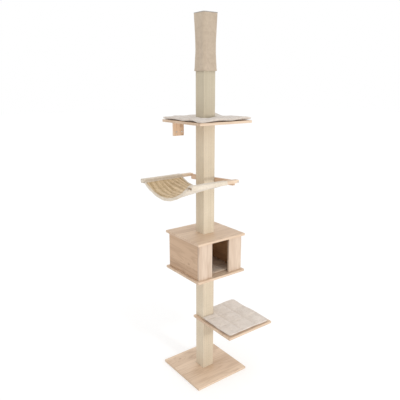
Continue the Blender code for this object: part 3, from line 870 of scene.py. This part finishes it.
@dataclass
class Hammock:
    """A plush sheet slung between two slats, with a cream lining coloured golden brown as painted shade and
    bounce light, and rolled hems.
    """

    cloth: float = 0.0036
    lining: float = 0.0030
    far_end: float = -0.3375
    near_end: float = -0.303
    inner_end: float = -0.031
    outer_sag: float = 0.0855
    inner_sag: float = 0.0455
    hollow: float = 0.022
    tunnel_wide: float = 0.0448
    tunnel_high: float = 0.0248
    tunnel_round: float = 0.0065
    seam_gap: float = 0.0042
    hood_high: float = 0.0040       # how far the near tunnel's top stands up at its end
    hood_long: float = 0.030
    mouth_long: float = 0.0165      # where that end starts to close, from the cloth's edge
    mouth_shut: float = 0.54        # share of its height that it loses
    mouth_drop: float = 0.0030
    fold_pitch: float = 0.035
    fold_high: float = 0.0050
    hem_wide: float = 0.0110
    hem_tall: float = 0.0190

    TUNNEL_STEPS = 30
    SAG_STEPS = 44
    COLUMNS = 64
    LINING_COLUMNS = 110
    LINING_ROWS = 60
    LINING_MARGIN = 0.03    # share of the width that the lining leaves free at each end
    CAP_DEEP = 0.0058       # how far the far slat's cap stands out
    HEM_SHARES = (0.013, 0.987)

    def __post_init__(self) -> None:
        """Finds the slats' line, which leans a little."""
        low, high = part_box("hammock_near_slat")
        near = (low + high) / 2
        low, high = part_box("hammock_far_slat")
        far = (low + high) / 2
        near.x = far.x = 0.0
        self.middle = (near + far) / 2
        self.across = (far - near).normalized()
        self.up = Vector((1.0, 0.0, 0.0)).cross(self.across)
        self.apart = (far - near).length / 2
        self.reach = self.apart - self.tunnel_wide / 2

    def at(self, x: float, side: float, rise: float) -> Vector:
        """Returns the point at x, this far across from the middle and above the slats' line."""
        return self.middle + Vector((x, 0.0, 0.0)) + self.across * side + self.up * rise

    def along(self, share: float, side: float) -> float:
        """Returns the x of a share of the cloth's width, from its free end to the post's."""
        near_share = (self.apart - side) / (2 * self.apart)
        free = self.far_end + (self.near_end - self.far_end) * max(0.0, min(1.0, near_share))
        return free + (self.inner_end - free) * share

    def bowl(self, side: float) -> float:
        """Returns 1 midway between the slats and 0 beside each."""
        return max(0.0, 1.0 - (side / self.reach) ** 2)

    def sagged(self, share: float, side: float, rise: float) -> Vector:
        """Returns the point this far above the hanging cloth's middle surface."""
        bowl = self.bowl(side)
        depth = self.outer_sag + (self.inner_sag - self.outer_sag) * share
        x = self.along(share, side) - self.hollow * share * bowl
        seam = 0.40 + 0.70 * (1.0 - math.exp(-(self.reach - abs(side)) / 0.006))
        dimple = noise.noise(Vector((x * 11.0, side * 9.0, 3.0))) * 0.0024
        slope = 2.0 * depth * side / self.reach ** 2
        upright = 1.0 / math.sqrt(1.0 + slope * slope)
        height = dimple - seam * self.tunnel_high / 2 - depth * bowl
        return self.at(x, side - slope * upright * rise, height + upright * rise)

    def tunnel(self) -> list[Point]:
        """Returns the section round the near slat, from its seam, under, round and back over."""
        half_w, half_h = self.tunnel_wide / 2, self.tunnel_high / 2
        box = [(-half_w, -half_h), (half_w, -half_h), (half_w, half_h), (-half_w, half_h)]
        loop = rounded(box, self.tunnel_round)
        corner = len(loop) // 4
        three = loop[2 * corner:] + loop[:corner]
        line = [Vector((half_w, -half_h * 0.40, 0.0))]
        line += [Vector((*point, 0.0)) for point in three]
        line.append(Vector((half_w - self.seam_gap, -half_h, 0.0)))
        return [(point.x, point.y) for point in reversed(spaced_count(line, self.TUNNEL_STEPS))]

    def wrapped(self, share: float, way: float) -> list[Vector]:
        """Returns a tunnel's points: way is -1 for the near slat and 1 for the far one."""
        points = []
        x = self.along(share, way * self.apart)
        end = self.near_end if way < 0.0 else self.far_end
        hood = self.hood_high * math.exp(-((x - end) / self.hood_long) ** 2) if way < 0.0 else 0.0
        mouth = max(0.0, 1.0 - (x - end) / self.mouth_long) if way < 0.0 else 0.0
        for side, rise in self.tunnel():
            ripple = noise.noise(Vector((x * 26.0, side * 90.0, rise * 90.0 + way))) * 0.0012
            lean = Vector((side, rise)).normalized() * ripple
            top = max(0.0, rise) / (self.tunnel_high / 2)
            height = (rise + lean.y) * (1.0 - self.mouth_shut * mouth) - self.mouth_drop * mouth
            points.append(self.at(x, way * (self.apart - side - lean.x), height + hood * top))
        return points

    def sheet(self, plush: bpy.types.Material) -> bpy.types.Object:
        """Returns the outer sheet with its two tunnels."""
        profiles = []
        for column in range(self.COLUMNS + 1):
            share = column / self.COLUMNS
            hang = [self.sagged(share, self.reach * (2.0 * step / self.SAG_STEPS - 1.0), 0.0)
                    for step in range(1, self.SAG_STEPS)]
            far = self.wrapped(share, 1.0)
            profiles.append(self.wrapped(share, -1.0) + hang + far[::-1])
        rows = len(profiles[0]) - 1
        cloth = mapped_grid("hammock_sheet", self.COLUMNS, rows,
                            lambda u, v: profiles[round(u * self.COLUMNS)][round(v * rows)])
        thicken(cloth, self.cloth)
        subdivide(cloth)
        settle(cloth, plush)
        return cloth

    def crest(self, x: float, side: float) -> float:
        """Returns 1 on the back of a fold of the lining and 0 between two."""
        drift = noise.noise(Vector((x * 9.0, side * 5.0, 9.0)))
        strength = 0.62 + 0.75 * noise.noise(Vector((x * 14.0, side * 6.0, 21.0)))
        wave = 0.5 + 0.5 * math.sin(math.tau * (x / self.fold_pitch + side * 0.7) + drift * 5.5)
        minor = 0.5 + 0.5 * math.sin(math.tau * (x / self.fold_pitch * 2.3 - side * 1.1) - drift * 4.0)
        return max(0.0, min(1.0, 0.5 + (wave * 0.75 + minor * 0.25 - 0.5) * strength))

    def inside(self, shaded_lining: bpy.types.Material) -> bpy.types.Object:
        """Returns the lining, with its folds kept as an attribute that its finish turns into painted shade
        and painted light.
        """
        margin, reach = self.LINING_MARGIN, self.reach - 0.004
        lift = self.cloth / 2 + self.lining / 2 + GAP

        def spot(u: float, v: float) -> Vector:
            """Returns the lining's point at these shares of its width and length."""
            share, side = margin + (1.0 - 2 * margin) * u, reach * (2.0 * v - 1.0)
            x = self.along(share, side)
            fine = noise.noise(Vector((x * 60.0, side * 22.0, 2.0))) * 0.0008
            fold = self.fold_high * self.crest(x, side) * self.bowl(side) ** 0.4
            return self.sagged(share, side, lift + fold + abs(fine))

        lining = mapped_grid("hammock_lining", self.LINING_COLUMNS, self.LINING_ROWS, spot)
        crests = lining.data.attributes.new("crest", "FLOAT", "POINT")
        for vert, share in zip(lining.data.vertices, crests.data):
            side = (vert.co - self.middle).dot(self.across)
            share.value = self.crest(vert.co.x, side)
        thicken(lining, self.lining)
        subdivide(lining)
        settle(lining, shaded_lining)
        return lining

    def hem(self, name: str, share: float, plush: bpy.types.Material) -> bpy.types.Object:
        """Returns a rolled hem along one edge of the sheet."""
        path = [self.sagged(share, self.reach * (step / 24.0 - 1.0) * 0.985, self.hem_tall * 0.22)
                for step in range(49)]
        section = oval(self.hem_wide, self.hem_tall, 14)
        roll = sweep(name, path, section, self.up, swell=lambda way: 1.0 + 0.08 * math.sin(way * 37.0))
        settle(roll, plush)
        return roll

    def far_cap(self, plush: bpy.types.Material) -> bpy.types.Object:
        """Returns the cloth gathered over the far slat's free end."""
        bm = bmesh.new()
        bmesh.ops.create_uvsphere(bm, u_segments=20, v_segments=12, radius=1.0)
        edge = self.cloth * 0.3
        half = Vector((self.CAP_DEEP, self.tunnel_wide / 2 - edge, self.tunnel_high / 2 - edge))
        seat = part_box("hammock_far_slat")[0].x - 2 * GAP
        for vert in bm.verts:
            x = seat + min(vert.co.x, 0.0) * half.x
            vert.co = self.at(x, self.apart + vert.co.y * half.y, vert.co.z * half.z)
        cap = finish_mesh(bm, "hammock_far_cap")
        settle(cap, plush)
        return cap

    def build(self, plush: bpy.types.Material, shaded_lining: bpy.types.Material) -> None:
        """Makes the sheet, its lining and its two hems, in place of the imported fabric."""
        outer = self.sheet(plush)
        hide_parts("hammock_fabric")
        inner = self.inside(shaded_lining)
        trims = [self.hem("hammock_free_hem", self.HEM_SHARES[0], plush),
                 self.hem("hammock_post_hem", self.HEM_SHARES[1], plush), self.far_cap(plush)]


# Ceiling end

@dataclass
class Sleeve:
    """A cloth tube that hides the ceiling clamp, and the felt pad on top."""

    wall: float = 0.0030
    top: float = 0.0560
    waist: float = 0.0492
    foot: float = 0.0538
    hem: float = 0.014
    square: float = 7.0

    def half_width(self, share: float) -> float:
        """Returns half of the tube's width at a share of its height."""
        upper = self.waist + (self.top - self.waist) * max(0.0, (share - 0.45) / 0.55) ** 1.3
        lower = self.waist + (self.foot - self.waist) * max(0.0, (0.38 - share) / 0.38) ** 1.6
        return max(upper, lower)

    def at(self, around: float, share: float) -> Vector:
        """Returns a point of the cloth, from its rear corner round and back."""
        low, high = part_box("fabric_sleeve")
        angle = math.tau * around + math.pi / 4
        power = self.square
        form = (abs(math.cos(angle)) ** power + abs(math.sin(angle)) ** power) ** (-1 / power)
        height = low.z + (high.z - low.z - GAP) * share
        turn = Vector((math.cos(angle), math.sin(angle), 0.0))
        drag = noise.noise(Vector((turn.x * 2.2, turn.y * 2.2, height * 9.0)))
        crease = noise.noise(Vector((turn.x * 7.0, turn.y * 7.0, height * 16.0 + 4.0)))
        loose = math.sin(math.pi * min(1.0, share / 0.9)) * 0.6 + 0.5 * (1.0 - share) ** 3
        swell = (drag * 0.0030 + crease * 0.0022) * loose
        if share * (high.z - low.z) < self.hem:
            swell += 0.0009
        reach = max(self.half_width(share) * form + swell, (0.0458 + self.wall / 2) * form)
        return turn * reach + Vector((0.0, 0.0, height))

    def build(self, plush: bpy.types.Material, felt: bpy.types.Material) -> None:
        """Makes the sleeve and the pad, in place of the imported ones."""
        tube = mapped_grid("ceiling_sleeve", 120, 84, self.at, weld=True)
        thicken(tube, self.wall)
        subdivide(tube)
        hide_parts("fabric_sleeve")
        settle(tube, plush, "tensioner")
        low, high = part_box("ceiling_pad")
        bm = bmesh.new()
        size = Matrix.Diagonal((2 * self.top - 0.001, 2 * self.top - 0.001, high.z - low.z, 1.0))
        bmesh.ops.create_cube(bm, size=1.0, matrix=Matrix.Translation((low + high) / 2) @ size)
        upright = [edge for edge in bm.edges if abs(edge.verts[0].co.z - edge.verts[1].co.z) > 0.001]
        bmesh.ops.bevel(bm, geom=upright, offset=0.010, segments=5, profile=0.5, affect="EDGES", material=-1)
        rims = [edge for edge in bm.edges if edge.calc_face_angle(0.0) > 1.0]
        bmesh.ops.bevel(bm, geom=rims, offset=0.0012, segments=2, profile=0.5, affect="EDGES", material=-1)
        pad = finish_mesh(bm, "felt_pad")
        pad.data.set_sharp_from_angle(angle=math.radians(50.0))
        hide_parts("ceiling_pad")
        settle(pad, felt, "tensioner")


# Studio

@dataclass(frozen=True)
class Studio:
    """A white room: even light, one soft key and a plain floor."""

    ambient: float = 1.0
    key_place: Point = (0.30, -3.3)
    key_height: float = 1.60
    key_wide: float = 0.35
    key_tall: float = 0.20
    key_power: float = 7.3
    key_spread: float = math.radians(90.0)
    key_aim: float = 0.80
    floor_tone: float = 0.76
    floor_glow: float = 0.25
    eye: tuple[float, float, float] = (-1.7933, -2.3400, 2.0179)
    look_down: float = 14.4
    look_right: float = 36.8
    lens: float = 40.74
    sensor: float = 36.0

    def world(self) -> None:
        """Fills the room with even white light."""
        world = bpy.data.worlds.new("studio")
        world.use_nodes = True
        sky = world.node_tree.nodes["Background"]
        sky.inputs["Color"].default_value = (1.0, 1.0, 1.0, 1.0)
        sky.inputs["Strength"].default_value = self.ambient
        bpy.context.scene.world = world

    def key(self) -> None:
        """Hangs the key light in front, a little above the hammock, and aims it at the house."""
        light = bpy.data.lights.new("key", "AREA")
        light.shape = "RECTANGLE"
        light.size, light.size_y = self.key_wide, self.key_tall
        light.energy = self.key_power
        light.spread = self.key_spread
        lamp = bpy.data.objects.new("key", light)
        lamp.location = (*self.key_place, self.key_height)
        aim = Vector((0.0, 0.0, self.key_aim)) - lamp.location
        lamp.rotation_mode = "QUATERNION"
        lamp.rotation_quaternion = aim.to_track_quat("-Z", "Y")
        bpy.context.scene.collection.objects.link(lamp)

    def floor(self) -> None:
        """Lays the pale floor."""
        bm = bmesh.new()
        bmesh.ops.create_grid(bm, x_segments=1, y_segments=1, size=30.0)
        bmesh.ops.translate(bm, vec=(0.0, 0.0, -GAP), verts=bm.verts)
        ground = finish_mesh(bm, "floor", outward=False)
        graph = Graph("studio floor")
        tone = (self.floor_tone,) * 3
        shader = graph.node("BsdfPrincipled", inputs={"Base Color": tone, "Roughness": 0.9,
                                                      "Emission Color": (1.0, 1.0, 1.0),
                                                      "Emission Strength": self.floor_glow})
        graph.node_output(shader)
        wear(ground, graph.material)

    def camera(self) -> None:
        """Stands the camera to the front left, above the top shelf."""
        lens = bpy.data.cameras.new("camera")
        lens.lens, lens.sensor_width = self.lens, self.sensor
        lens.clip_end = 100.0
        view = bpy.data.objects.new("camera", lens)
        view.location = self.eye
        view.rotation_euler = (math.radians(90.0 - self.look_down), 0.0, math.radians(-self.look_right))
        bpy.context.scene.collection.objects.link(view)
        bpy.context.scene.camera = view

    def build(self) -> None:
        """Sets up the room."""
        bpy.context.scene.view_settings.view_transform = "Standard"
        self.world()
        self.key()
        self.floor()
        self.camera()


def rectangle(left: float, front: float, right: float, back: float) -> list[Point]:
    """Returns a rectangle's four corners, anticlockwise."""
    return [(left, front), (right, front), (right, back), (left, back)]


def cushions(quilt: bpy.types.Material, shade: bpy.types.Material, thread: bpy.types.Material) -> None:
    """Makes the three quilted cushions."""
    hole = 0.049
    inset = 0.005
    over = 0.005
    set_back = 0.016
    low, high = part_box("lower_cushion")
    left, right, front = low.x + inset, high.x - inset, low.y + inset
    notched = [(left, front), (right, front), (right, high.y), (hole, high.y), (hole, -hole), (left, -hole)]
    Cushion("lower_cushion", notched, low.z + GAP, (0.061, 0.183), (-0.218, -0.090), ripple=0.0024,
            lift=0.0060, phase=1.3, puff=0.0078, corner=0.016).build(quilt, thread)
    low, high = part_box("top_cushion")
    wide = rectangle(low.x - over, low.y - over, high.x + over, high.y + over)
    Cushion("top_cushion", wide, low.z + GAP, (-0.122, 0.128), (-0.127, 0.122),
            rectangle(-hole, -hole, hole, hole), ripple=0.0066, lift=0.0078, phase=4.1, thin=0.0135,
            puff=0.0105, seam_height=0.0072).build(quilt, thread)
    low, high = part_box("house_cushion")
    loose = rectangle(low.x, low.y + set_back, high.x, high.y)
    # The house cushion wears the quilted plush browned and dimmed as painted shade and bounce light for the
    # house's dim inside.
    Cushion("house_cushion", loose, low.z + GAP, (-0.054, 0.054), (-0.045, 0.055), ripple=0.0016,
            lift=0.0018, phase=7.7, bolt_radius=0.013).build(shade, thread)


def screws(steel: bpy.types.Material, hammock: Hammock) -> None:
    """Makes the shown screws."""
    slat = {"radius": 0.0045, "height": 0.002, "shank": 0.005, "length": 0.066}
    rail = {"radius": 0.008, "height": 0.005, "shank": 0.008, "length": 0.054}
    wall = {"radius": 0.005, "height": 0.003, "shank": 0.005, "length": 0.0194}
    SocketScrew("hammock_near_screw", -hammock.across, **slat).build(steel)
    SocketScrew("hammock_far_screw", hammock.across.copy(), **slat).build(steel)
    SocketScrew("hammock_rail_bolt", Vector((1.0, 0.0, 0.0)), **rail).build(steel)
    for side in ("left", "right"):
        SocketScrew(side + "_wall_screw", Vector((0.0, -1.0, 0.0)), **wall).build(steel)


def main() -> None:
    """Dresses the hard parts, makes the soft ones and sets up the studio."""
    logging.basicConfig(level=logging.INFO, format="%(name)s: %(message)s")
    steel = SteelFinish().material()
    quilt = PlushFinish("quilted plush", (0.77, 0.70, 0.635), (0.53, 0.46, 0.40)).material()
    # The same quilted plush, browned and dimmed as painted shade for the cushion inside the house.
    shade = PlushFinish("quilted plush in painted shade", (0.66, 0.53, 0.41), (0.40, 0.29, 0.20)).material()
    thread = PlushFinish("thread", (0.66, 0.58, 0.50), (0.50, 0.42, 0.35)).material()
    cream = PlushFinish("cream plush", (0.81, 0.725, 0.61), (0.55, 0.465, 0.36)).material()
    # The lining's golden brown is painted shade and warm bounce light over cream plush.
    shaded_lining = PlushFinish("lining plush in painted shade", (0.80, 0.63, 0.40), (0.31, 0.19, 0.075), shaded_folds=True).material()
    beige = PlushFinish("beige plush", (0.60, 0.495, 0.38), (0.41, 0.32, 0.235), pile=480.0).material()
    felt = PlushFinish("grey felt", (0.50, 0.48, 0.45), (0.34, 0.32, 0.30)).material()
    Timber().dress()
    post = Post()
    # The upper cover's sisal is the same mat, dimmed as painted shade for the upper post.
    shaded_sisal = SisalFinish("woven sisal in painted shade", (0.64, 0.565, 0.43), (0.36, 0.295, 0.19))
    post.dress(SisalFinish().material(), shaded_sisal.material(), steel)
    post.staples(steel)
    cushions(quilt, shade, thread)
    hammock = Hammock()
    hammock.build(cream, shaded_lining)
    screws(steel, hammock)
    Sleeve().build(beige, felt)
    Studio().build()


if __name__ == "__main__":
    main()
